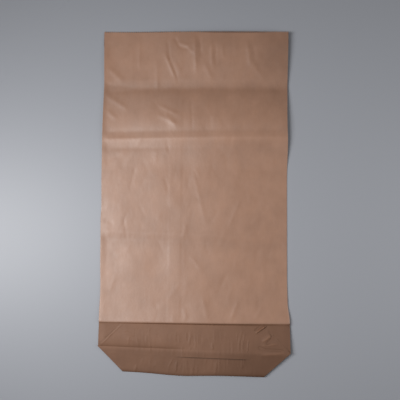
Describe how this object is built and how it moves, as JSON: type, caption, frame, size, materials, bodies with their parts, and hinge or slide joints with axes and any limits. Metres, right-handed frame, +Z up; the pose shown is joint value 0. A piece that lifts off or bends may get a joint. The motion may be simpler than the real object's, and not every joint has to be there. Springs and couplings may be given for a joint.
{
  "type": "multiwall paper sack",
  "caption": "Empty open-mouth kraft paper sack lying flat, with a pinked mouth edge and a pasted hexagonal bottom folded over its front wall.",
  "frame": {"origin": "centre of the sack's box on the table that it lies on", "axes": "+Z up from the table, +Y along the sack from the folded bottom towards the open mouth, +X towards the side fold that the picture shows on the right"},
  "size_m": [0.552, 1.004, 0.0203],
  "materials": {
    "kraft_paper": "natural brown kraft, uncoated, with a soft low sheen and fine lengthwise fibre streaks"
  },
  "bodies": {
    "root": {"sack": "kraft_paper"}
  },
  "joints": []
}
